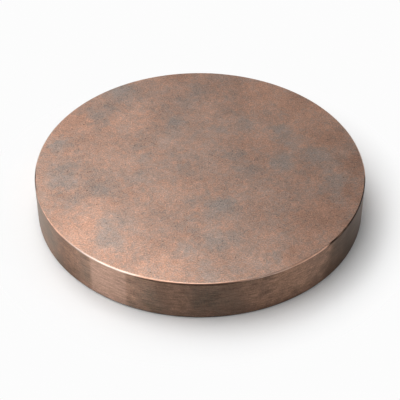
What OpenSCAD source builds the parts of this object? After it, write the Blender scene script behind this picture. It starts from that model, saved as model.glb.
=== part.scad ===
// Sputtering target: one solid disc of copper, sawn from round bar, faced on both sides and
// turned on its rim, with the two corners eased to a small radius by hand.
//
// Stored lying on its back face, the one that seats on the cathode or its backing plate.
// Origin: centre of the back face. +Z: out of the front face, the one the plasma wears away.
// Units: millimetres.

/* [Disc] */
// Outside diameter of the rim
target_d = 50.8; // [25.4:0.1:152.4]
// Thickness, from the back face to the front face
target_t = 6.8; // [3:0.05:12.7]

/* [Eased corners] */
// Radius between the rim and the front face
front_edge_r = 0.25; // [0.1:0.05:1]
// Radius between the rim and the back face
back_edge_r = 0.25; // [0.1:0.05:1]

/* [Hidden] */

rim_r = target_d / 2;
copper = [0.60, 0.46, 0.39]; // tarnished: a dull brown pink
clear = 0.5;                 // how far a cut runs past the metal, so that no skin is left
turn_fn = 240;               // facets round the disc, where a viewer draws it
corner_fn = 64;              // facets round a full circle of a corner's radius

// What easing takes off a corner: the part of a square that lies outside the rounding circle.
// The sharp corner is at the origin, and the metal lies towards -X and -Y.
module corner_waste(r) {
    translate([-r, -r]) difference() {
        square(r + clear);
        circle(r = r, $fn = corner_fn);
    }
}

// Half of the disc's section: X is the distance from the axis, Y the height above the back face.
module half_section() {
    difference() {
        square([rim_r, target_t]);
        translate([rim_r, target_t]) corner_waste(front_edge_r);
        translate([rim_r, 0]) mirror([0, 1]) corner_waste(back_edge_r);
    }
}

// The whole disc, turned from its half section.
module target_disc() {
    color(copper) rotate_extrude($fn = turn_fn) half_section();
}

target_disc();
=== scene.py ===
# %% [markdown]
# # A copper sputtering target
#
# A sputtering target is the plate of metal that a coating machine wears away, atom by atom. This
# one is a solid round of copper. It was sawn from bar, faced flat on both sides, turned on its rim,
# and had its two corners eased with a fine stone. It has since been handled and has tarnished.
#
# The construction file fixes the size of the disc. This lesson gives it the marks of the lathe
# and the stone, its tarnish, and the light of a small product studio.

import math
import random

import bmesh
import bpy
from mathutils import Matrix, Vector, noise


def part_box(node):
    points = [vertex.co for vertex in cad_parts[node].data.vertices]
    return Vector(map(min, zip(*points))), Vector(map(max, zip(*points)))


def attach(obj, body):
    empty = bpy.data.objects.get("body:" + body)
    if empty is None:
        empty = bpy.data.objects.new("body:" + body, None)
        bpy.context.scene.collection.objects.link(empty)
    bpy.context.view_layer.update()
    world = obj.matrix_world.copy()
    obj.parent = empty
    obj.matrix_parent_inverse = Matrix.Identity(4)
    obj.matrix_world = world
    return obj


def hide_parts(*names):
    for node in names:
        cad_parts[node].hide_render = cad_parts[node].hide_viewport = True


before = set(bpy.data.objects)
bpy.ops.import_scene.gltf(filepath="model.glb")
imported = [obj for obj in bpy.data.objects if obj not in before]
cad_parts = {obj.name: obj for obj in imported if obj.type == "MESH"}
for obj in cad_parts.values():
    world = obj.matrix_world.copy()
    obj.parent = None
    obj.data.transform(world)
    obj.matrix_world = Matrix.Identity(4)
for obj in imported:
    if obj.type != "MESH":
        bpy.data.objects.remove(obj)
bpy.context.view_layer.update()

# %% [markdown]
# ## Measure the disc
#
# Blender works in metres, and a machinist in millimetres, so one value, `MM`, turns one into the
# other. The outside radius and the thickness come from the disc's box. The size of the eased
# corner could be typed in again, but two copies of one size drift apart. So it is measured on the
# construction mesh: it is how far the flat of the front face stops short of the rim. A point
# within a hundredth of a millimetre of the face counts as flat, so the corner comes out a little
# under its drawn radius.

# %% Sizes taken from the construction model
MM = 0.001
TINY = 0.01 * MM      # lengths that differ by less than this are taken as the same

low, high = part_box("target_disc")
rim_r = high.x
thickness = high.z - low.z
front_z = high.z

cad_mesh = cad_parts["target_disc"].data
flat_r = max(v.co.xy.length for v in cad_mesh.vertices if abs(v.co.z - front_z) < TINY)
corner = rim_r - flat_r
print(f"rim radius {rim_r / MM:.2f}, thickness {thickness / MM:.2f}, corner {corner / MM:.3f} mm")

# %% [markdown]
# ## Turn the disc on the lathe
#
# A disc could start as a cylinder with bevelled edges. But the real one is a turned shape, and its
# rim has the tool's marks, so it is modelled as a lathe makes it: draw half of its section once,
# and spin it about the axis. The section starts as four points. Its two outer corners are
# rounded with the bevel operator, which in a flat outline works on vertices.

# %% Draw half of the section
CORNER_SEGMENTS = 8     # enough for the line of light on the corner to be smooth


def sharp_section():
    """A bmesh with the sharp half section, from the axis out to the rim and back to the axis."""
    bm = bmesh.new()
    points = [(0, low.z), (rim_r, low.z), (rim_r, front_z), (0, front_z)]
    corners = [bm.verts.new((x, 0, z)) for x, z in points]
    for start, end in zip(corners, corners[1:]):
        bm.edges.new((start, end))
    return bm


section = sharp_section()
outer = [v for v in section.verts if v.co.x > rim_r / 2]
bmesh.ops.bevel(
    section, geom=outer, offset=corner, offset_type="OFFSET", segments=CORNER_SEGMENTS,
    profile=0.5, affect="VERTICES", material=-1,
)
print("section points after easing the corners:", len(section.verts))

# %% [markdown]
# A turned rim is never quite smooth. The tool creeps along while the work turns, so it leaves one
# fine groove for each turn, like the groove of a record, a few thousandths of a millimetre deep.
# Bump could shade it, but the rim itself would stay smooth. Cutting it into the section is as
# easy: the straight part gets two points for every pitch, and every second point is pushed
# inwards by a slightly different amount. The crests stay on the true radius, so the disc keeps
# its size.

# %% Cut the tool's marks into the rim
TOOL_PITCH = 0.22 * MM     # a coarse feed, so that the grooves can be seen from arm's length
TOOL_DEPTH = 0.006 * MM
SHALLOWEST = 0.4           # the least depth of a groove, as a share of the deepest

straight = max(section.edges, key=lambda e: abs(e.verts[0].co.z - e.verts[1].co.z))
steps = 2 * round(straight.calc_length() / TOOL_PITCH)
bmesh.ops.subdivide_edges(section, edges=[straight], cuts=steps - 1)

lathe = random.Random(4)
on_rim = sorted((v for v in section.verts if abs(v.co.x - rim_r) < TINY), key=lambda v: v.co.z)
grooves = on_rim[1:-1:2]
for groove in grooves:
    groove.co.x -= TOOL_DEPTH * lathe.uniform(SHALLOWEST, 1.0)
print("grooves on the rim:", len(grooves))

# %% [markdown]
# Spinning the section right round makes the solid. In half-degree steps the outline still looks
# round from close by, and the faces of the rim come out about as long as a groove is wide.
# `use_merge` joins the last step to the first. The points on the axis still come out once for
# each step, so doubles are merged there, and only then are the normals made to point outwards.

# %% Spin the section into a disc
TURN_STEPS = 720
MERGE_WITHIN = 0.001 * MM

bmesh.ops.spin(
    section, geom=section.verts[:] + section.edges[:], cent=(0, 0, 0), axis=(0, 0, 1),
    angle=math.tau, steps=TURN_STEPS, use_merge=True,
)
bmesh.ops.remove_doubles(section, verts=section.verts, dist=MERGE_WITHIN)
bmesh.ops.recalc_face_normals(section, faces=section.faces)
print("faces after the spin:", len(section.faces))

# %% [markdown]
# The corners were eased by hand, with a stone pushed along the edge, so they aren't quite even:
# the flat that the stone leaves grows and shrinks by a few hundredths of a millimetre round the
# disc. A Bevel modifier would make it the same all round. Instead each point of the corner is
# moved in along its normal by smooth noise, which is read round a circle so that its end meets
# its start. The noise only ever takes metal away.

# %% Say how much metal the stone took
STONE_SLIP = 0.035 * MM              # the most that it took beyond the true corner
STEADY = 0.35                        # its pressure, from 0 to 1, before it swings
SLOW_WAVES, SLOW_SWING = 2.2, 0.6    # how often it swings on the way round, and how far
QUICK_WAVES, QUICK_SWING = 7, 0.3
FRONT_PASS, BACK_PASS = 5.0, 11.0    # two slices of the noise, so that the corners differ
NEAR_RIM = rim_r - 1.2 * corner      # all that was eased lies further out than this


def corner_share(vertex):
    """1 in the middle of an eased corner, and 0 where it runs into the face or the rim."""
    across = vertex.normal.xy.length * abs(vertex.normal.z)
    return min(1.0, 2 * across) if vertex.co.xy.length > NEAR_RIM else 0.0


def stone_wear(vertex):
    """How much metal the stone took at this place round the disc, from 0 to 1."""
    side = FRONT_PASS if vertex.co.z > thickness / 2 else BACK_PASS
    around = vertex.co.xy.normalized()
    slow = noise.noise((SLOW_WAVES * around.x, SLOW_WAVES * around.y, side))
    quick = noise.noise((QUICK_WAVES * around.x, QUICK_WAVES * around.y, side))
    return min(1.0, max(0.0, STEADY + SLOW_SWING * slow + QUICK_SWING * quick))


print("the stone took up to", round(STONE_SLIP / MM, 3), "mm")

# %% [markdown]
# The points move along their normals, so those are worked out first. Then the bmesh, which is
# only a workbench, becomes a mesh on an object. The object stays at the origin, unturned and
# unscaled, because every pattern below reads the object's own coordinates.

# %% Ease the corners unevenly, as a hand does
section.normal_update()
for v in section.verts:
    share = corner_share(v)
    if share > 0:
        v.co -= v.normal * (STONE_SLIP * share * stone_wear(v))

disc_mesh = bpy.data.meshes.new("turned_disc")
section.to_mesh(disc_mesh)
section.free()
disc = bpy.data.objects.new("turned_disc", disc_mesh)
bpy.context.scene.collection.objects.link(disc)
print("largest radius", max(v.co.xy.length for v in disc_mesh.vertices) / MM, "mm")

# %% [markdown]
# ## Small helpers for materials
#
# Colours are written as six hex digits, as a colour picker shows them. Blender's shaders want
# linear light instead, which is hard to read, so one function turns one into the other.

# %% Colour helper
def linear(hex_colour):
    """Red, green, blue and alpha in linear light, from six hex digits of an sRGB colour."""
    channels = [int(hex_colour[i:i + 2], 16) / 255 for i in (0, 2, 4)]
    return [c / 12.92 if c <= 0.04045 else ((c + 0.055) / 1.055) ** 2.4 for c in channels] + [1.0]


print("the grey 808080 in linear light is", round(linear("808080")[0], 3))

# %% [markdown]
# A material is a web of nodes. Each node takes four or five lines to make and link by hand, which
# hides the recipe. So one function adds a node of any kind with its settings, and with each
# input either set to a value or linked to another node's output. A second one starts a material.

# %% Node helpers
def add(tree, kind, inputs=None, stops=None, **settings):
    """Adds a node. Each of inputs, by name or number, is a value or another node's output.

    On a colour ramp, stops are its places from 0 to 1, each with its hex colour.
    """
    node = tree.nodes.new(kind)
    for name, value in settings.items():
        setattr(node, name, value)
    for name, value in (inputs or {}).items():
        if isinstance(value, bpy.types.NodeSocket):
            tree.links.new(value, node.inputs[name])
        else:
            node.inputs[name].default_value = value
    if stops:
        ramp = node.color_ramp.elements
        while len(ramp) < len(stops):
            ramp.new(0.5)
        for number, (place, hex_colour) in enumerate(stops):
            ramp[number].position = place
            ramp[number].color = linear(hex_colour)
    return node


def start_material(name):
    """A new material, its node tree, and the shader that it comes with."""
    material = bpy.data.materials.new(name)
    material.use_nodes = True
    tree = material.node_tree
    return material, tree, tree.nodes["Principled BSDF"]


print("materials before the first of ours:", len(bpy.data.materials))

# %% [markdown]
# ## The tarnish
#
# Bare copper is a salmon orange. Air and fingers give it a skin of oxide, a few ten-thousandths
# of a millimetre thick, that first turns it brown and then a dull slate grey. The grey comes in
# clouds a few millimetres across with wispy edges, where a wet glove or a finger rested.
#
# Noise alone would put clouds anywhere, and all of one kind. On the front face each cloud is laid
# out one by one instead, as a centre, a size and a strength, and noise is left to fray its edges.

# %% Where the grey clouds lie on the front face
# Each is x and y from the centre of the face, the radius, all in millimetres, and the strength.
FRONT_CLOUDS = [
    (-13.4, 19.5, 2.8, 1.1),
    (-15.8, 15.2, 2.0, 0.8),
    (-17.2, 12.0, 2.2, 0.8),
    (-22.2, 6.0, 1.8, 1.0),
    (-0.6, 20.5, 1.5, 0.7),
    (-1.2, 17.6, 1.7, 0.8),
    (-3.6, 11.5, 2.1, 1.1),
    (-4.8, 8.0, 2.0, 0.7),
    (4.2, 9.6, 1.7, 0.7),
    (8.2, 10.6, 2.0, 0.8),
    (12.5, 9.2, 2.2, 0.9),
    (14.4, 7.2, 1.6, 0.8),
    (12.2, 2.0, 2.3, 1.1),
    (19.5, 2.3, 2.3, 0.9),
    (22.0, 1.6, 1.6, 0.6),
    (19.8, -1.5, 1.8, 0.5),
    (20.6, -4.4, 2.3, 0.95),
    (20.2, -7.2, 1.6, 0.8),
    (5.0, 3.4, 1.6, 0.7),
    (7.4, -0.6, 1.9, 0.8),
    (-19.8, -1.0, 1.7, 0.7),
    (-20.3, -3.8, 2.2, 1.0),
    (-15.0, -5.4, 2.7, 0.9),
    (-18.8, -8.8, 1.7, 0.7),
    (-9.2, 1.8, 1.4, 0.6),
    (-9.8, -2.2, 1.6, 0.6),
    (3.9, -8.6, 2.1, 1.3),
    (2.4, -10.8, 1.5, 0.9),
    (-1.4, -7.2, 1.4, 0.6),
    (-12.6, -15.2, 2.1, 1.0),
    (-10.3, -12.4, 1.9, 1.0),
    (-2.0, -13.4, 1.8, 0.5),
    (2.2, -17.0, 2.3, 0.9),
    (5.0, -16.0, 1.5, 0.6),
    (-2.0, -19.2, 1.6, 0.5),
    (10.6, -20.0, 1.6, 0.9),
    (8.8, -21.8, 1.5, 0.8),
    (1.8, -23.0, 1.7, 0.6),
    (-4.0, 3.5, 7.0, 0.3),
]
print("clouds on the front:", len(FRONT_CLOUDS))

# %% [markdown]
# A face that is handled isn't only darkened. In some places it was rubbed lately, and the skin is
# thin and bright. In others the skin is thin too and warmer in colour, but no brighter. Both are
# laid out as the clouds are, because they too follow the hands that held the disc. The bright
# places are partly painted sheen: the largest, at the front left, paints the glow that light
# gives that part of the face.

# %% Where the skin of the front face is thin, and where sheen is painted
# Bright: rubbed, and partly painted sheen, the largest at the front left.
THIN_PATCHES_AND_SHEEN = [
    (-15.0, -17.5, 8.5, 0.75),
    (9.0, 9.0, 4.0, 0.4),
    (-23.0, -11.0, 4.0, 0.35),
    (-4.0, -22.5, 5.0, 0.8),
    (3.0, -16.5, 3.5, 0.3),
    (9.0, -21.5, 4.0, 0.5),
    (1.5, -22.5, 2.5, 1.0),
    (-9.0, -22.5, 3.0, 1.0),
    (17.5, 13.5, 4.5, 1.0),
    (15.5, 8.5, 3.5, 0.8),
    (11.0, 19.0, 4.5, 0.9),
    (-11.0, 12.0, 3.2, 0.8),
    (-6.0, 4.0, 4.0, 0.3),
]

# Warm, but no brighter.
STAINS = [
    (-21.3, 11.4, 3.0, 1.0),
    (-17.5, 5.5, 3.5, 0.4),
    (9.0, 18.5, 3.5, 0.6),
    (16.5, 16.0, 4.0, 0.7),
    (20.5, 7.5, 3.2, 0.9),
    (24.2, 0.5, 2.4, 1.0),
    (16.0, -2.0, 3.0, 0.3),
    (24.0, -6.5, 2.5, 0.9),
    (18.5, -12.4, 4.3, 1.1),
    (15.0, -18.5, 3.0, 0.9),
    (-1.5, -3.6, 2.6, 0.3),
    (-18.0, -14.0, 4.0, 0.4),
    (-5.0, 23.0, 3.0, 0.4),
]
print("bright patches:", len(THIN_PATCHES_AND_SHEEN), "warm stains:", len(STAINS))

# %% [markdown]
# The back lay on a bench, and nobody looks at it first, so its marks needn't be chosen one by
# one. A random generator scatters them. It is seeded, so that every run gives the same disc. The
# square root spreads them evenly over the area, where a plain random radius would crowd the
# middle.

# %% Scatter the marks of the back face
handling = random.Random(11)


def scatter(count, smallest, largest, weakest, strongest):
    """Places nobody chose, spread evenly over a face, as x, y, radius in mm and strength."""
    places = []
    for _ in range(count):
        around = handling.uniform(0, math.tau)
        out = rim_r / MM * math.sqrt(handling.random())
        size = handling.uniform(smallest, largest)
        places.append((out * math.cos(around), out * math.sin(around), size,
                       handling.uniform(weakest, strongest)))
    return places


# How many, the smallest and largest radius in mm, and the weakest and strongest.
back_clouds = scatter(40, 1.4, 2.9, 0.5, 1.2)
back_patches = scatter(9, 3.0, 7.0, 0.4, 1.0)
back_stains = scatter(10, 2.0, 4.5, 0.4, 1.0)
print("on the back:", len(back_clouds), "clouds,", len(back_patches), "patches,",
      len(back_stains), "stains")

# %% [markdown]
# The disc is picked up by its rim, so that has clouds too, and patches that a thumb rubbed pale.
# Both are also painted light: set by their angle round the disc, they darken the rim as painted
# shade and lighten it as painted reflection, where it would mirror the lamps and the room.
# They could be placed by x, y and z, but nobody can read where such a point lies. They are laid
# out by their angle round the disc instead, in degrees from +X, the way a protractor counts.

# %% Where the rim is grey and where it is pale, with painted shade and painted reflection
# Each is an angle in degrees, the height as a share of the thickness, the radius in mm, the strength.
# Partly painted shade: the clouds at 229 degrees and from 319 to 343 degrees darken the rim's reflections.
RIM_CLOUDS_AND_SHADE = [
    (12, 0.4, 4.0, 0.8),
    (37, 0.6, 3.0, 1.0),
    (58, 0.5, 5.0, 0.8),
    (84, 0.3, 3.0, 0.9),
    (103, 0.6, 4.5, 1.0),
    (131, 0.5, 3.0, 0.7),
    (150, 0.4, 5.0, 0.9),
    (171, 0.7, 3.0, 0.8),
    (189, 0.5, 5.0, 0.9),
    (200, 0.6, 4.5, 0.9),
    (209, 0.6, 3.2, 1.2),
    (216, 0.15, 2.2, 0.6),
    (229, 0.5, 2.6, 0.45),
    (250, 0.75, 2.0, 0.5),
    (252, 0.3, 2.8, 0.75),
    (273, 0.6, 3.2, 0.85),
    (282, 0.4, 3.0, 0.4),
    (290, 0.9, 2.0, 0.5),
    (319, 0.5, 2.5, 0.2),
    (325, 0.6, 3.0, 0.8),
    (333, 0.5, 4.0, 0.9),
    (343, 0.5, 4.0, 0.9),
]
# Partly painted reflection: the patches from 290 to 313 degrees light the rim as a lamp on the right would.
RIM_PATCHES_AND_SHEEN = [
    (24, 0.5, 4.0, 0.9),
    (71, 0.5, 3.5, 0.8),
    (162, 0.5, 3.5, 0.7),
    (221, 0.5, 2.5, 0.6),
    (247, 0.5, 2.2, 0.3),
    (262, 0.6, 2.2, 0.3),
    (290, 0.5, 3.0, 0.5),
    (297, 0.7, 3.0, 0.7),
    (303, 0.6, 3.8, 0.6),
    (313, 0.6, 2.5, 0.4),
]
print("clouds on the rim:", len(RIM_CLOUDS_AND_SHADE), "pale patches:", len(RIM_PATCHES_AND_SHEEN))

# %% [markdown]
# Grease and bench dirt gather at the foot of the rim, where the disc stands on it, and in the fold
# at the top, where the rim turns into the eased corner. Both are also painted shade: the foot of
# the rim is darkened most at its right end, where it would mirror the disc's shadow on the table,
# and the fold is a dark line below the corner's line of light. Both are long and thin, and a cloud
# is round. A long mark is made as a row of clouds that overlap, so that one kind of mark serves
# for all.

# %% Where the rim is darkened: grease, dirt and painted shade
def row(angles, height, size, strength):
    """Neighbouring clouds of one size, which run together into a long one."""
    return [(angle, height, size, strength) for angle in angles]


# Painted shade, partly grease: darker at the foot of the rim, and most from 292 to 354 degrees.
GREASE_AND_SHADE_SPOTS = [
    *row(range(188, 258, 5), 0.0, 2.4, 0.45),
    *row(range(256, 288, 6), 0.5, 3.0, 0.15),
    *row(range(292, 318, 5), 0.0, 2.6, 0.8),
    *row(range(320, 354, 5), 0.0, 3.0, 1.4),
    (323, 0.5, 3.2, 0.9),
    (332, 0.5, 3.8, 1.3),
    (338, 0.5, 3.5, 1.1),
]

# Dirt and painted shade in the fold: a dark line at the top of the rim and at the foot of the corner, below
# the corner's line of light.
FOLD_DIRT_AND_SHADE = [
    *row(range(184, 206, 6), 1.0, 3.5, 1.0),
    *row(range(257, 290, 6), 1.0, 3.5, 1.0),
    *row(range(324, 360, 6), 1.0, 3.5, 1.0),
]
print("spots of grease:", len(GREASE_AND_SHADE_SPOTS), "and of dirt in the fold:", len(FOLD_DIRT_AND_SHADE))

# %% [markdown]
# The front corner is rubbed bright only where a hand slides along it. On the left and on the
# right the disc was held and not rubbed, so there the corner is as brown as the rim, with dirt on
# its lower half. Both are also painted shade: the brown at the left and right ends, and the dark
# lower half, set where the corner's line of light begins, ends and lies, instead of the lamps.
# These two lists follow it round. Where neither reaches, it is bright.

# %% Where the corner is dull, with painted shade
# Dirt and painted shade on its lower half.
CORNER_DIRT_AND_SHADE = [
    *row(range(184, 213, 5), 1.0, 3.0, 1.0),
    *row(range(216, 284, 5), 1.0, 3.0, 0.5),
    *row(range(320, 328, 3), 1.0, 2.6, 1.0),
    *row(range(328, 360, 6), 1.0, 3.0, 1.0),
]

# Brown, and painted shade, over its whole width. The strength fades out towards the bright front.
CORNER_CLOUDS_AND_SHADE = [
    (184, 1.0, 3.5, 1.0),
    (190, 1.0, 3.5, 1.0),
    (196, 1.0, 3.0, 0.85),
    (202, 1.0, 2.4, 0.75),
    (207, 1.0, 2.2, 0.75),
    (212, 1.0, 2.2, 0.6),
    (217, 1.0, 2.2, 0.3),
    *row(range(256, 288, 6), 1.0, 3.5, 0.4),
    (292, 1.0, 3.0, 0.3),
    (298, 1.0, 3.0, 0.3),
    (304, 1.0, 3.0, 0.45),
    (310, 1.0, 3.0, 0.6),
    *row(range(320, 332, 3), 1.0, 2.6, 1.0),
    *row(range(332, 356, 5), 1.0, 3.5, 1.0),
]
print("spots of dirt on the corner:", len(CORNER_DIRT_AND_SHADE), "dull spots:", len(CORNER_CLOUDS_AND_SHADE))

# %% [markdown]
# A shader measures distances in space, so each of these places becomes a point in the disc's own
# frame. The points stay in millimetres, which keeps every size below in one unit.

# %% Turn the places into points
def on_face(clouds, height):
    """Clouds of the face at that height, as points in mm, with their radius and strength."""
    return [(Vector((x, y, height / MM)), size, strength) for x, y, size, strength in clouds]


def round_rim(clouds):
    """Rim clouds as points in mm, with their radius and strength."""
    points = []
    for angle, height, size, strength in clouds:
        a = math.radians(angle)
        place = Vector((rim_r * math.cos(a), rim_r * math.sin(a), low.z + height * thickness)) / MM
        points.append((place, size, strength))
    return points


first_place = round_rim(RIM_CLOUDS_AND_SHADE)[0][0]
print("the first rim cloud lies at", tuple(round(c, 1) for c in first_place), "mm")

# %% [markdown]
# A shader finds out how cloudy a point is from its distance to each centre. Left so, the clouds
# would be round. Their edges could be painted ragged, but only into an image. Bending the
# coordinates with noise before the distance is measured does it in any place and at any size.
# This is called domain warping, and it makes smoke out of plain discs. Swirls of three sizes
# are used, because real edges are ragged both from afar and from close by.

# %% Bend the coordinates
WARPS = [(9.0, 3.0), (2.4, 1.6), (0.8, 0.7)]     # the size of a swirl, and how far it pushes, in mm


def in_millimetres(tree):
    """The point that is being shaded, in mm, in the object's own frame."""
    coords = add(tree, "ShaderNodeTexCoord").outputs["Object"]
    return add(tree, "ShaderNodeVectorMath", {0: coords, "Scale": 1 / MM}, operation="SCALE").outputs[0]


def wander(tree, at, size, far):
    """A push of up to about far, in swirls of that size, both in mm."""
    swirl = add(tree, "ShaderNodeTexNoise", {"Vector": at, "Scale": 1 / size, "Detail": 2.0})
    offset = add(tree, "ShaderNodeVectorMath", {0: swirl.outputs["Color"], 1: (0.5, 0.5, 0.5)},
                 operation="SUBTRACT").outputs[0]
    return add(tree, "ShaderNodeVectorMath", {0: offset, "Scale": 2 * far}, operation="SCALE").outputs[0]


print("swirls and pushes in mm:", WARPS)

# %% [markdown]
# Where clouds overlap, the stronger one counts. Adding them up instead would make a dark seam
# wherever two neighbours of a row meet.

# %% Measure how cloudy a point is
OUTER_EDGE, INNER_EDGE = 1.5, 0.2     # where a cloud begins and where it is full, in radii


def cloudiness(tree, at, clouds):
    """How deep in a cloud the point at is, from 0 to about 1."""
    bent = at
    for size, far in WARPS:
        push = wander(tree, at, size, far)
        bent = add(tree, "ShaderNodeVectorMath", {0: bent, 1: push}, operation="ADD").outputs[0]

    deepest = None
    for centre, size, strength in clouds:
        away = add(tree, "ShaderNodeVectorMath", {0: bent, 1: centre}, operation="DISTANCE").outputs["Value"]
        cloud = add(tree, "ShaderNodeMapRange", {
            "Value": away, "From Min": OUTER_EDGE * size, "From Max": INNER_EDGE * size, "To Max": strength,
        }, interpolation_type="SMOOTHSTEP").outputs["Result"]
        deepest = cloud if deepest is None else add(
            tree, "ShaderNodeMath", {0: deepest, 1: cloud}, operation="MAXIMUM").outputs[0]
    return deepest


print("a cloud of radius 2 mm reaches", OUTER_EDGE * 2, "mm")

# %% [markdown]
# Everything else about the tarnish is noise at one size or another, added up with weights. Noise
# swings round a half, so a half is taken off: a weight then makes a pattern stronger without
# making the whole surface lighter or darker.

# %% Noise helpers
GRIT = 0.2                 # mm, the width of a speck
ELSEWHERE = (0, 0, 40)     # mm, a step along Z, past which a second noise doesn't copy the first
FINER_SHARE = 0.6          # how strong each finer layer of a noise is, next to the one before


def mottle(tree, at, size, detail=3.0, twist=0.0):
    """Noise with features of about that size in mm, spread round zero. A twist draws it into threads."""
    grain = add(tree, "ShaderNodeTexNoise", {
        "Vector": at, "Scale": 1 / size, "Detail": detail,
        "Roughness": FINER_SHARE, "Distortion": twist})
    return add(tree, "ShaderNodeMath", {0: grain.outputs["Fac"], 1: 0.5}, operation="SUBTRACT").outputs[0]


def weighted_sum(tree, parts, start):
    """start, plus each output times its weight."""
    total = start
    for output, weight in parts:
        total = add(tree, "ShaderNodeMath", {0: output, 1: weight, 2: total},
                    operation="MULTIPLY_ADD").outputs[0]
    return total


print("specks of", GRIT, "mm")

# %% [markdown]
# ## Pits and scratches
#
# A copper bar has a few tiny pores, and facing opens some of them: dark round dots, up to a third
# of a millimetre across. They could be dents in the mesh, but a dent that small needs faces as
# small all over. A pattern of cells costs nothing: each cell has one centre, and draws its dot
# only when its own random number is high.

# %% Pits
PIT_SPACING = 1.7     # mm
PIT_RADIUS = 0.16     # mm
PIT_FLOOR = 0.4       # the inner share of a pit, which is fully dark
PIT_LOT = 0.72        # a cell with a random number below this has no pit


def pits(tree, at):
    """1 in the middle of a pit, and 0 on the clean face. About one cell in four has a pit."""
    cells = add(tree, "ShaderNodeTexVoronoi", {"Vector": at, "Scale": 1 / PIT_SPACING},
                voronoi_dimensions="2D")
    radius = PIT_RADIUS / PIT_SPACING
    dot = add(tree, "ShaderNodeMapRange", {
        "Value": cells.outputs["Distance"], "From Min": radius, "From Max": PIT_FLOOR * radius,
    }).outputs["Result"]
    lot = add(tree, "ShaderNodeSeparateColor", {"Color": cells.outputs["Color"]}).outputs["Red"]
    drawn = add(tree, "ShaderNodeMapRange", {"Value": lot, "From Min": PIT_LOT}).outputs["Result"]
    return add(tree, "ShaderNodeMath", {0: dot, 1: drawn}, operation="MULTIPLY").outputs[0]


print("pits up to", 2 * PIT_RADIUS, "mm across, in cells of", PIT_SPACING, "mm")

# %% [markdown]
# A few faint scratches cross the middle, where something was dragged over the disc. Each is a
# long thin dot: a Mapping node of the texture kind moves, turns and stretches the coordinates to
# the scratch, and in those a plain distance from the origin is long one way and narrow the other.
# Real ones are finer still and wouldn't show, so they are drawn coarser.

# %% Scratches
# Each has its middle in x and y, its angle in degrees and its length in mm.
SCRATCHES = [
    (-7.4, 5.9, -38, 2.6),
    (-2.2, 4.1, -22, 3.2),
    (1.8, 3.0, -31, 2.4),
    (-9.6, 9.8, -15, 2.0),
    (6.2, -3.6, 52, 1.8),
    (-16.8, -1.2, 12, 3.4),
]
BACK_SCRATCHES = SCRATCHES[:3]
SCRATCH_HALF = 0.14     # mm, half the width of one, with its faint sides
SCRATCH_CORE = 0.3      # the inner share of one, which is fully marked
ANY_HEIGHT = 1e6        # mm, so tall that the height of a point makes no difference


def scratches(tree, at, marks):
    """1 along the middle of each scratch, fading to 0 at its sides and ends."""
    deepest = None
    for x, y, angle, length in marks:
        own = add(tree, "ShaderNodeMapping", {
            "Vector": at, "Location": (x, y, 0), "Rotation": (0, 0, math.radians(angle)),
            "Scale": (length / 2, SCRATCH_HALF, ANY_HEIGHT)}, vector_type="TEXTURE").outputs["Vector"]
        out = add(tree, "ShaderNodeVectorMath", {0: own}, operation="LENGTH").outputs["Value"]
        mark = add(tree, "ShaderNodeMapRange", {
            "Value": out, "From Min": 1.0, "From Max": SCRATCH_CORE}).outputs["Result"]
        deepest = mark if deepest is None else add(
            tree, "ShaderNodeMath", {0: deepest, 1: mark}, operation="MAXIMUM").outputs[0]
    return deepest


print("scratches on the front:", len(SCRATCHES), "and on the back:", len(BACK_SCRATCHES))

# %% [markdown]
# ## The faces: lapped and tarnished copper
#
# The faces were rubbed flat on abrasive paper, which leaves a fine even tooth rather than lines,
# and makes the reflection soft. In close view the tarnish is made of specks: each pit and peak
# of that tooth has taken its own colour. One flat colour with clouds on it would look like
# painted card. So the share of tarnish is the clouds, plus mottling at a few sizes, plus specks
# about a fifth of a millimetre across. Real grit leaves marks finer than that, which would be
# lost in a view of the whole disc, so they are drawn coarser here.

# %% Colours and pattern sizes of the faces
FRESH = "BB927D"      # a thin brown skin over bare copper
BROWN = "A58D80"      # the middle of the range
SLATE = "968981"      # the thick grey skin of the clouds

DRIFT = 8.0           # mm, slow changes over the face
BLOTCH = 5.0          # mm, what a finger leaves
THREAD = 1.8          # mm, the wisps in a cloud
FLECK = 1.0           # mm, pale and dark flecks
FINE_THREAD = 0.8     # mm
print("patterns from", GRIT, "to", DRIFT, "mm")

# %% [markdown]
# Two numbers make the colour. The first, the skin, says how thick the oxide is, and picks a hue
# between fresh, brown and slate. The second, the shade, makes that hue lighter or darker without
# changing it. With one number for both, every grey place would have to be dark as well, and on
# real tarnish some of them are pale.

# %% Skin and shade of a face
def face_skin(tree, at, grey, fresh, warm, grit):
    """How thick the skin of oxide is, from about 0 to 1."""
    return weighted_sum(tree, [
        (grey, 0.53),
        (fresh, -0.1),
        (warm, -0.3),
        (mottle(tree, at, DRIFT), 0.4),
        (mottle(tree, at, THREAD, twist=1.5), 1.25),
        (mottle(tree, at, FINE_THREAD, detail=2.0, twist=1.2), 0.9),
        (grit, 1.2),
    ], start=0.33)


def face_shade(tree, at, fresh, warm, marks):
    """What the hue is multiplied by, spread round 1."""
    elsewhere = add(tree, "ShaderNodeVectorMath", {0: at, 1: ELSEWHERE}, operation="ADD").outputs[0]
    return weighted_sum(tree, [
        (mottle(tree, elsewhere, GRIT, detail=1.0), 1.45),
        (mottle(tree, elsewhere, FLECK, twist=1.5), 0.7),
        (mottle(tree, elsewhere, BLOTCH), 0.55),
        (fresh, 0.21),
        (warm, -0.09),
        (pits(tree, at), -0.6),
        (scratches(tree, at, marks), -0.2),
    ], start=1.0)


print("hue from", FRESH, "by", BROWN, "to", SLATE)

# %% [markdown]
# A bare metal has a metallic value of 1. The skin of oxide isn't a metal, and takes a little of
# the mirror away, so this starts at 1 and comes down to 0.9. Metal off fine abrasive paper has a
# roughness of about 0.4, a little more where the skin is thick. The tooth itself is bump,
# because its hills are a hundredth of a millimetre high.

# %% Make the material of each face
TARNISHED_METALLIC = 0.9
LAPPED_ROUGHNESS = 0.39
TOOTH_HEIGHT = 0.01 * MM
TOOTH_STRENGTH = 0.35


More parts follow.
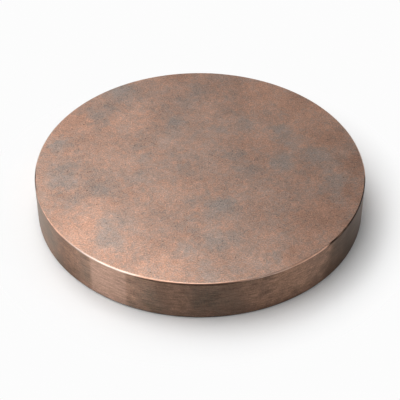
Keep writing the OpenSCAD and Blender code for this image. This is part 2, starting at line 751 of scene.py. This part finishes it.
def lapped_face(name, clouds, thin, stains, marks):
    """Copper rubbed flat on abrasive paper, then tarnished brown and grey."""
    material, tree, shader = start_material(name)
    at = in_millimetres(tree)
    grit = mottle(tree, at, GRIT, detail=1.0)
    # On the front face these bright places are partly painted sheen, which also lightens the shade.
    fresh = cloudiness(tree, at, thin)
    warm = cloudiness(tree, at, stains)

    skin = face_skin(tree, at, cloudiness(tree, at, clouds), fresh, warm, grit)
    hue = add(tree, "ShaderNodeValToRGB", {"Fac": skin}, stops=[(0.0, FRESH), (0.5, BROWN), (1.0, SLATE)])
    shade = face_shade(tree, at, fresh, warm, marks)
    colour = add(tree, "ShaderNodeVectorMath", {0: hue.outputs["Color"], "Scale": shade}, operation="SCALE")
    tree.links.new(colour.outputs[0], shader.inputs["Base Color"])

    shader.inputs["Metallic"].default_value = TARNISHED_METALLIC
    rough = weighted_sum(tree, [(skin, 0.06), (grit, 0.10)], start=LAPPED_ROUGHNESS)
    tree.links.new(rough, shader.inputs["Roughness"])
    tooth = add(tree, "ShaderNodeBump", {
        "Height": mottle(tree, at, GRIT, detail=2.0), "Strength": TOOTH_STRENGTH, "Distance": TOOTH_HEIGHT})
    tree.links.new(tooth.outputs["Normal"], shader.inputs["Normal"])
    return material


front_copper = lapped_face(
    "lapped_tarnished_copper", on_face(FRONT_CLOUDS, front_z), on_face(THIN_PATCHES_AND_SHEEN, front_z),
    on_face(STAINS, front_z), SCRATCHES)
back_copper = lapped_face(
    "lapped_tarnished_copper_back", on_face(back_clouds, low.z), on_face(back_patches, low.z),
    on_face(back_stains, low.z), BACK_SCRATCHES)
print("nodes in the front's material:", len(front_copper.node_tree.nodes))

# %% [markdown]
# ## The marks of the chuck
#
# A lathe holds the work in a chuck with three jaws. While the faces were turned, the jaws gripped
# the rim in three places, and those kept a cleaner and more even colour, with upright ends. The
# mark at 239 degrees is also a painted reflection: its paler colour and upright ends paint the
# band of light where the rim mirrors the left strip lamps. Each could be a mask of its own. The
# angle round the axis, wrapped to a third of a turn, makes all three with one set of nodes, and
# evenly spaced, as a chuck does.

# %% Jaw marks, one of them a painted band of reflected light
JAW_CENTRE = 239.0                 # degrees, the middle of one of the marks, where the painted band of reflected light lies
JAW_HALF = 6.7                     # degrees, half the width of a jaw
END_FROM, END_TO = -0.6, 0.9       # degrees past that, over which the end of a mark fades


def jaw_marks_and_sheen(tree, at):
    """1 where one of the chuck's three jaws gripped the rim, which also paints a band of reflected light,
    and 0 between them.
    """
    parts = add(tree, "ShaderNodeSeparateXYZ", {"Vector": at}).outputs
    angle = add(tree, "ShaderNodeMath", {0: parts["Y"], 1: parts["X"]}, operation="ARCTAN2").outputs[0]
    turned = add(tree, "ShaderNodeMath", {0: angle, 1: -math.radians(JAW_CENTRE)}).outputs[0]
    third = math.tau / 3
    wrapped = add(tree, "ShaderNodeMath", {0: turned, 1: third / 2, 2: -third / 2},
                  operation="WRAP").outputs[0]
    off = add(tree, "ShaderNodeMath", {0: wrapped}, operation="ABSOLUTE").outputs[0]
    return add(tree, "ShaderNodeMapRange", {
        "Value": off, "To Min": 1.0, "To Max": 0.0,
        "From Min": math.radians(JAW_HALF + END_FROM), "From Max": math.radians(JAW_HALF + END_TO),
    }, interpolation_type="SMOOTHSTEP").outputs["Result"]


print("a jaw was", round(2 * math.radians(JAW_HALF) * rim_r / MM, 1), "mm wide")

# %% [markdown]
# Dirt in the fold between the rim and its corner, partly painted shade, lies at one height all the
# way round, so the height of a point tells how near the fold it is. The darkening fades in over a
# short band, because a hard line would look drawn on. Swapping the two heights turns a band upside
# down.

# %% A band at one height
FOLD_FROM, FOLD_TO = 2.2 * corner, 1.2 * corner     # how far below the front face the dirt and painted shade fade in


def height_band(tree, at, from_height, to_height):
    """0 at the first of two heights in metres, 1 at the second, and smooth between them."""
    height = add(tree, "ShaderNodeSeparateXYZ", {"Vector": at}).outputs["Z"]
    return add(tree, "ShaderNodeMapRange", {
        "Value": height, "From Min": from_height / MM, "From Max": to_height / MM,
    }, interpolation_type="SMOOTHSTEP").outputs["Result"]


print(f"dirt begins {FOLD_FROM / MM:.2f} mm below the face and is full at {FOLD_TO / MM:.2f} mm")

# %% [markdown]
# ## The rim: turned copper
#
# The rim still shows the lathe. Its fine grooves all run round the disc, so light spreads across
# them, up and down, and hardly at all along them. That is anisotropic gloss, and it is why a
# turned rim shows upright bands of light and dark. The grooves in the mesh are too few to make
# it alone, so the shader helps. The tangent that it needs is the direction round the axis, and
# the rotation of a quarter turn stretches highlights across it.
#
# Grooves also show as streaks. One is drawn nearly as high as a groove of the mesh is wide, and
# ten times as long as it is high. Real streaks are finer and wouldn't show from here.

# %% Colours and pattern sizes of the rim
RIM_FRESH = "A4806A"      # the skin is thin here
RIM_BROWN = "7E6455"      # the middle of the range
RIM_SLATE = "64574C"      # the skin is thick here
GRIPPED_AND_SHEEN = "967A6B"        # the cleaner metal under the jaws, paler as painted reflection
GREASE_AND_SHADE = "43301F"         # from hands and the bench, and painted shade at the rim's foot

RIM_DRIFT = 6.0                # mm
RIM_FLECK = 1.2                # mm
STREAK = 0.6                   # mm, before it is stretched
STRETCH = (0.35, 0.35, 3.5)    # how much the coordinates shrink along the grooves, and grow across them
print("streaks", round(STREAK / STRETCH[0], 2), "by", round(STREAK / STRETCH[2], 2), "mm")

# %% [markdown]
# The rim's colour is laid on in the order in which it came: the tarnish, then the clean marks of
# the jaws with their painted band of reflected light, then the grease and painted shade over both.
# Two Mix nodes do that, one on top of the other. A Mix node has several inputs of the same name, so
# they are given by number: 0 is the factor, and 6 and 7 are the two colours. The streaks, and the
# dirt and painted shade in the fold, are shade.

# %% Hue and shade of the rim
JAW_BAND_SHARE = 0.8       # how much of the tarnish the jaws kept off, and how strongly the painted band of reflected light shows
GREASE_AND_SHADE_HIDES = 0.5    # how much of the metal a full spot of grease and painted shade hides


def rim_hue(tree, at):
    """The tarnish of the rim, with the jaw marks and their painted reflection, and the grease and painted
    shade over it.
    """
    skin = weighted_sum(tree, [
        (cloudiness(tree, at, round_rim(RIM_CLOUDS_AND_SHADE)), 0.5),
        (cloudiness(tree, at, round_rim(RIM_PATCHES_AND_SHEEN)), -0.45),
        (mottle(tree, at, RIM_DRIFT), 0.4),
        (mottle(tree, at, RIM_FLECK), 0.7),
        (mottle(tree, at, GRIT, detail=1.0), 0.8),
    ], start=0.5)
    hue = add(tree, "ShaderNodeValToRGB", {"Fac": skin},
              stops=[(0.0, RIM_FRESH), (0.5, RIM_BROWN), (1.0, RIM_SLATE)])
    # Partly painted reflection: the paler jaw mark at 239 degrees paints a band of light.
    gripped = add(tree, "ShaderNodeMath", {0: jaw_marks_and_sheen(tree, at), 1: JAW_BAND_SHARE}, operation="MULTIPLY")
    clean_and_sheen = add(tree, "ShaderNodeMix", {
        0: gripped.outputs[0], 6: hue.outputs["Color"], 7: linear(GRIPPED_AND_SHEEN)}, data_type="RGBA")
    # Grease and painted shade: darker at the foot of the rim.
    spots = cloudiness(tree, at, round_rim(GREASE_AND_SHADE_SPOTS))
    greasy_and_shaded = add(tree, "ShaderNodeMath", {0: spots, 1: GREASE_AND_SHADE_HIDES}, operation="MULTIPLY")
    return add(tree, "ShaderNodeMix", {
        0: greasy_and_shaded.outputs[0], 6: clean_and_sheen.outputs[2], 7: linear(GREASE_AND_SHADE)}, data_type="RGBA").outputs[2]


def rim_shade(tree, at, streaks):
    """What the rim's hue is multiplied by, spread round 1."""
    elsewhere = add(tree, "ShaderNodeVectorMath", {0: at, 1: ELSEWHERE}, operation="ADD").outputs[0]
    # Painted shade, partly dirt: a dark band at the top of the rim, below the corner's line of light.
    fold = height_band(tree, at, thickness - FOLD_FROM, thickness - FOLD_TO)
    spots = cloudiness(tree, at, round_rim(FOLD_DIRT_AND_SHADE))
    dirty_and_shaded = add(tree, "ShaderNodeMath", {0: fold, 1: spots}, operation="MULTIPLY").outputs[0]
    return weighted_sum(tree, [
        # Partly painted light: ridges lighter, as they would catch the lamps.
        (streaks, 1.4),
        (mottle(tree, elsewhere, GRIT, detail=1.0), 0.6),
        (dirty_and_shaded, -0.5),
    ], start=1.0)


print("rim from", RIM_FRESH, "by", RIM_BROWN, "to", RIM_SLATE)

# %% [markdown]
# The rim is as tarnished as the faces, so it takes their metallic value. Finely turned metal has
# a roughness near 0.3, and the skin dulls it to 0.42. Anisotropic is at its full 1, because every
# groove runs the same way. The streaks are used twice, as shade and as bump. In the shade each
# ridge is lighter and each groove darker, partly as a ridge rubbed clean and a groove that holds
# dirt, and partly as painted light, the way ridges catch the lamps.

# %% Make the rim's material
TURNED_ROUGHNESS = 0.42
QUARTER_TURN = 0.25         # the shader counts its rotation in whole turns
LINE_HEIGHT = 0.01 * MM
LINE_STRENGTH = 0.3


def turned_rim():
    """Copper as the lathe left it, browned by age."""
    material, tree, shader = start_material("turned_copper_painted_light")
    at = in_millimetres(tree)
    along = add(tree, "ShaderNodeVectorMath", {0: at, 1: STRETCH}, operation="MULTIPLY").outputs[0]
    streaks = mottle(tree, along, STREAK, detail=2.0)
    shade = rim_shade(tree, at, streaks)
    colour = add(tree, "ShaderNodeVectorMath", {0: rim_hue(tree, at), "Scale": shade}, operation="SCALE")
    tree.links.new(colour.outputs[0], shader.inputs["Base Color"])

    shader.inputs["Metallic"].default_value = TARNISHED_METALLIC
    shader.inputs["Roughness"].default_value = TURNED_ROUGHNESS
    shader.inputs["Anisotropic"].default_value = 1.0
    shader.inputs["Anisotropic Rotation"].default_value = QUARTER_TURN
    round_axis = add(tree, "ShaderNodeTangent", direction_type="RADIAL", axis="Z")
    tree.links.new(round_axis.outputs["Tangent"], shader.inputs["Tangent"])
    lines = add(tree, "ShaderNodeBump", {
        "Height": streaks, "Strength": LINE_STRENGTH, "Distance": LINE_HEIGHT})
    tree.links.new(lines.outputs["Normal"], shader.inputs["Normal"])
    return material


rim_copper = turned_rim()
print("nodes in the rim's material:", len(rim_copper.node_tree.nodes))

# %% [markdown]
# ## The corners: rubbed copper
#
# The stone, and hands since, have rubbed the corners back to brighter metal. They are the
# shiniest part of the disc, and their thin line of light is what the eye reads as its edge.
#
# The lower half of the front corner is darkened, partly as dirt in the fold where no finger
# reaches and partly as painted shade that keeps the line of light high on the corner. The same
# band by height, upside down, keeps that darkening low. The corner of the back face lies on the
# bench and is never rubbed, so it has dirt all over.

# %% Colours and bands of the corner
RUBBED_AND_GLINT = "E1CCBF"     # nearly bare, and pale as a painted highlight, whiter than the copper
HANDLED = "D0A38C"    # a thin skin
WORN_AND_SHADE = "2E211A"       # an old brown that no hand has rubbed, also painted shade
DIRT_AND_SHADE = "291D17"       # what gathers in the fold, and painted shade

CLEAN_ABOVE, DIRT_AND_SHADE_BELOW = 0.35 * corner, 0.75 * corner    # both from the front face down
FRONT_PART, BACK_PART = 0.6 * thickness, 0.4 * thickness   # up from the first, and down from the second
CORNER_DRIFT = 5.0                                         # mm
print(f"the clean line is about {CLEAN_ABOVE / MM:.2f} mm high")

# %% [markdown]
# Here the metal shows nearly bare, so metallic is a full 1, and a fine stone leaves a roughness
# near 0.3. There is no bump: the unevenness of the corner is in the mesh already.

# %% Make the corner's material
RUBBED_ROUGHNESS = 0.3


def rubbed_corner():
    """Copper rubbed nearly bare and pale as a painted highlight, brown where no hand goes, with dirt in the
    fold at the rim; the brown and the dirt are partly painted shade.
    """
    material, tree, shader = start_material("rubbed_copper_painted_light")
    at = in_millimetres(tree)
    skin = weighted_sum(tree, [
        (cloudiness(tree, at, round_rim(CORNER_CLOUDS_AND_SHADE)), 1.0),
        (mottle(tree, at, CORNER_DRIFT), 0.2),
    ], start=0.0)
    hue = add(tree, "ShaderNodeValToRGB", {"Fac": skin}, stops=[(0.0, RUBBED_AND_GLINT), (0.4, HANDLED), (1.0, WORN_AND_SHADE)])

    # Painted shade, partly dirt: darkens the lower half of the corner, so that its line of light lies high.
    deep = weighted_sum(tree, [
        (cloudiness(tree, at, round_rim(CORNER_DIRT_AND_SHADE)), 1.1),
        (cloudiness(tree, at, round_rim(FOLD_DIRT_AND_SHADE)), 0.4),
        (height_band(tree, at, FRONT_PART, BACK_PART), 1.0),
    ], start=0.1)
    lower = height_band(tree, at, thickness - CLEAN_ABOVE, thickness - DIRT_AND_SHADE_BELOW)
    dirt = add(tree, "ShaderNodeMath", {0: lower, 1: deep}, operation="MULTIPLY", use_clamp=True)
    colour = add(tree, "ShaderNodeMix", {
        0: dirt.outputs[0], 6: hue.outputs["Color"], 7: linear(DIRT_AND_SHADE)}, data_type="RGBA")
    tree.links.new(colour.outputs[2], shader.inputs["Base Color"])

    shader.inputs["Metallic"].default_value = 1.0
    shader.inputs["Roughness"].default_value = RUBBED_ROUGHNESS
    return material


corner_copper = rubbed_corner()
print("nodes in the corner's material:", len(corner_copper.node_tree.nodes))

# %% [markdown]
# ## Give each part of the disc its finish
#
# One mesh can carry several materials, and each of its faces says which one it wears. Four
# separate meshes would do too, but they could part along their joins. The height of a face's
# middle tells the front, the back and the sides apart. The flats are shaded flat, and the rim
# and the corners smooth, so that the line between a flat and its corner stays crisp.

# %% Give each face of the mesh its material
FRONT, BACK, RIM, CORNER = range(4)
for copper in (front_copper, back_copper, rim_copper, corner_copper):
    disc_mesh.materials.append(copper)

for polygon in disc_mesh.polygons:
    up = polygon.center.z
    by_rim = corner < up - low.z < thickness - corner and polygon.center.xy.length > flat_r
    if front_z - up < TINY:
        polygon.material_index = FRONT
    elif up - low.z < TINY:
        polygon.material_index = BACK
    else:
        polygon.material_index = RIM if by_rim else CORNER
    polygon.use_smooth = polygon.material_index in (RIM, CORNER)
print("faces by material:", [sum(p.material_index == i for p in disc_mesh.polygons) for i in range(4)])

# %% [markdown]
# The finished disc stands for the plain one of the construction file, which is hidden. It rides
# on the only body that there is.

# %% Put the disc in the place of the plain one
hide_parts("target_disc")
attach(disc, "root")
print("triangles in the disc:", sum(len(p.vertices) - 2 for p in disc_mesh.polygons))

# %% [markdown]
# ## Floor
#
# A round white table. It lies a hair below the disc, so that the two never fight for the same
# depth. One whole sheet would hide the back face from below. So it is a ring, with a hole where
# the disc covers it: a circle whose edge is extruded and scaled out to a wide one.

# %% Lay the floor
TABLE_R = 1.0              # m
TABLE_SIDES = 128
HOLE_INSET = 0.6 * MM      # the hole is this much smaller than the disc, so that no gap shows
HAIR = 0.02 * MM           # how far the table lies below the disc

table = bmesh.new()
bmesh.ops.create_circle(table, segments=TABLE_SIDES, radius=rim_r - HOLE_INSET)
outwards = bmesh.ops.extrude_edge_only(table, edges=table.edges[:])
outer_ring = [v for v in outwards["geom"] if isinstance(v, bmesh.types.BMVert)]
grow = TABLE_R / (rim_r - HOLE_INSET)
bmesh.ops.scale(table, vec=(grow, grow, 1), verts=outer_ring)
bmesh.ops.translate(table, vec=(0, 0, low.z - HAIR), verts=table.verts)
bmesh.ops.recalc_face_normals(table, faces=table.faces)
if table.faces[:][0].normal.z < 0:
    bmesh.ops.reverse_faces(table, faces=table.faces)

floor_mesh = bpy.data.meshes.new("floor")
table.to_mesh(floor_mesh)
table.free()
floor = bpy.data.objects.new("floor", floor_mesh)
bpy.context.scene.collection.objects.link(floor)
print("floor faces up:", all(p.normal.z > 0 for p in floor_mesh.polygons))

# %% [markdown]
# The paper is a matt white: fully rough, with no gloss of its own. Close to the disc it is lit
# like anything else, so it keeps the disc's shadow. Further out it fades, for the camera and for
# reflections only, into an even white, as a paper sweep does in a studio. The fade begins inside
# the shadow, so it also paints light over the outer part of that shadow. More lamps would whiten
# it too, but they would bleach the copper. The light that the paper throws back onto the disc is
# that of the plain paper everywhere. From below it is clear, so that the back shows.

# %% Make the paper's material
PAPER = "F7F7F7"
EVEN_WHITE = 0.975                          # the far white, where 1 is the whitest there is
FADE_FROM, FADE_TO = 2.5 * MM, 9.5 * MM     # how far outside the rim the fade begins and ends; it begins inside the shadow and paints light over its outer part


def paper_sweep():
    """Matt white paper that is clear from below and evenly white away from the disc."""
    material, tree, lit = start_material("matt_paper")
    lit.inputs["Base Color"].default_value = linear(PAPER)
    lit.inputs["Roughness"].default_value = 1.0
    lit.inputs["Specular IOR Level"].default_value = 0.0

    coords = add(tree, "ShaderNodeTexCoord").outputs["Object"]
    away = add(tree, "ShaderNodeVectorMath", {0: coords}, operation="LENGTH").outputs["Value"]
    far = add(tree, "ShaderNodeMapRange", {
        "Value": away, "From Min": rim_r + FADE_FROM, "From Max": rim_r + FADE_TO,
    }, interpolation_type="SMOOTHSTEP").outputs["Result"]
    ray = add(tree, "ShaderNodeLightPath")
    seen = ray.outputs["Is Camera Ray"]
    for kind in ("Is Glossy Ray", "Is Transmission Ray"):
        seen = add(tree, "ShaderNodeMath", {0: seen, 1: ray.outputs[kind]}, operation="MAXIMUM").outputs[0]
    faded = add(tree, "ShaderNodeMath", {0: far, 1: seen}, operation="MULTIPLY").outputs[0]
    even = add(tree, "ShaderNodeEmission", {"Strength": EVEN_WHITE}).outputs["Emission"]
    upper = add(tree, "ShaderNodeMixShader", {0: faded, 1: lit.outputs["BSDF"], 2: even}).outputs[0]

    below = add(tree, "ShaderNodeNewGeometry").outputs["Backfacing"]
    clear = add(tree, "ShaderNodeBsdfTransparent").outputs["BSDF"]
    both = add(tree, "ShaderNodeMixShader", {0: below, 1: upper, 2: clear}).outputs[0]
    tree.links.new(both, tree.nodes["Material Output"].inputs["Surface"])
    return material


floor_mesh.materials.append(paper_sweep())
print("the floor wears", floor_mesh.materials[0].name)

# %% [markdown]
# ## Light
#
# Metal shows what stands round it, so it needs a room to reflect as much as it needs lamps. The
# world is a dim room with a white wall round its foot. The wall is what the rim mirrors, and the
# dim ceiling keeps the faces from going pale. An even white world would be simpler, but it would
# flatten everything.

# %% Build the room
ROOM = 0.15            # how bright the room is overhead
WALL = 1.0             # and lower down, where a white wall goes round it
WALL_TOP = 0.2         # how high the wall reaches, as the sine of the angle above the table
WALL_BLUR = 0.05       # how softly it ends, on the same scale


def pale_room():
    """A dim room with a white wall round it, low enough to light the disc's faces evenly."""
    world = bpy.data.worlds.new("pale_room")
    world.use_nodes = True
    tree = world.node_tree
    direction = add(tree, "ShaderNodeTexCoord").outputs["Generated"]
    height = add(tree, "ShaderNodeSeparateXYZ", {"Vector": direction}).outputs["Z"]
    strength = add(tree, "ShaderNodeMapRange", {
        "Value": height, "From Min": WALL_TOP, "From Max": WALL_TOP + WALL_BLUR,
        "To Min": WALL, "To Max": ROOM,
    }, interpolation_type="SMOOTHSTEP").outputs["Result"]
    background = tree.nodes["Background"]
    background.inputs["Color"].default_value = linear("FFFFFF")
    tree.links.new(strength, background.inputs["Strength"])
    return world


bpy.context.scene.world = pale_room()
print(f"the wall ends {math.degrees(math.asin(WALL_TOP)):.0f} degrees above the table")

# %% [markdown]
# Softboxes shape the light. Each is placed in the words that a studio uses: its compass direction
# round the disc, how high it stands, how far off it is, how wide and how high its cloth is, and
# how bright the cloth looks, where 1 is as bright as lit white paper. Lamp power in watts would
# hide that, because it changes with the size of the lamp, so it is worked out here.
#
# The overhead lamp does most of the work, and stands towards the back left, so that the shadow
# falls softly to the right and the front. Two weaker ones, lower down, are mirrored in the front
# face, and make it lighter at the left and at the back. Three low strips stand on the left: they
# draw the bright bands on the rim and the line of light along the corner. A small fill lamp
# keeps the right end of the rim from going black.

# %% Hang the softboxes
def softbox(name, around, up, distance, width, height, brightness):
    """A flat lamp with square corners that faces the disc. Angles are in degrees, sizes in metres."""
    lamp = bpy.data.lights.new(name, "AREA")
    lamp.shape = "RECTANGLE"
    lamp.size = width
    lamp.size_y = height
    lamp.energy = brightness * math.pi * width * height
    a, e = math.radians(around), math.radians(up)
    place = Vector((math.cos(a) * math.cos(e), math.sin(a) * math.cos(e), math.sin(e))) * distance
    stand = bpy.data.objects.new(name, lamp)
    stand.location = place
    stand.rotation_euler = (-place).to_track_quat("-Z", "Y").to_euler()
    stand.visible_camera = False
    bpy.context.scene.collection.objects.link(stand)
    print(f"{name}: {lamp.energy:.2f} W")


# Name, direction, height, distance, width and height of the cloth, brightness.
softbox("overhead", 150, 74, 0.45, 0.36, 0.36, 3.6)
softbox("high_left", 163, 46, 0.45, 0.18, 0.18, 0.8)
softbox("back", 112, 47, 0.45, 0.25, 0.20, 1.3)
softbox("left_strip", 208, 7.5, 0.40, 0.20, 0.105, 9.8)
softbox("front_left_strip", 233, 7.5, 0.40, 0.155, 0.105, 6.7)
softbox("side_strip", 160, 7.5, 0.40, 0.26, 0.105, 8.2)
softbox("right_fill", 347, 27, 0.40, 0.20, 0.20, 1.2)

# %% [markdown]
# ## Camera
#
# A long lens, as for a product on a table: it stands seven radii back, so the far side of the disc
# looks only a fifth smaller than the near one. A short lens close by would make the near side
# bulge. It looks down at about forty degrees. It aims a little in front of the middle of the
# disc, and it is a quarter of a degree off level, as a tripod set up by hand is.

# %% Place the camera
TILT = math.radians(40.29)      # how far it looks down
DISTANCE = 7.283 * rim_r        # from the middle of the disc
LENS = 106.57                   # mm, the focal length
SENSOR = 36                     # mm, the width of the film behind it
ROLL = math.radians(0.248)
AIM = Vector((0.0006 * rim_r, -0.1497 * rim_r, thickness / 2))
NEAREST = 0.01                  # m, nothing closer than this is drawn

centre = Vector((0, 0, thickness / 2))
eye = centre + DISTANCE * Vector((0, -math.cos(TILT), math.sin(TILT)))
camera_data = bpy.data.cameras.new("camera")
camera_data.sensor_width = SENSOR
camera_data.lens = LENS
camera_data.clip_start = NEAREST
camera = bpy.data.objects.new("camera", camera_data)
look = (AIM - eye).to_track_quat("-Z", "Y").to_matrix().to_4x4()
camera.matrix_world = Matrix.Translation(eye) @ look @ Matrix.Rotation(ROLL, 4, "Z")
bpy.context.scene.collection.objects.link(camera)
bpy.context.scene.camera = camera
bpy.context.scene.view_settings.view_transform = "Standard"
print(f"the camera stands {DISTANCE / MM:.0f} mm off, {eye.z / MM:.0f} mm above the table")
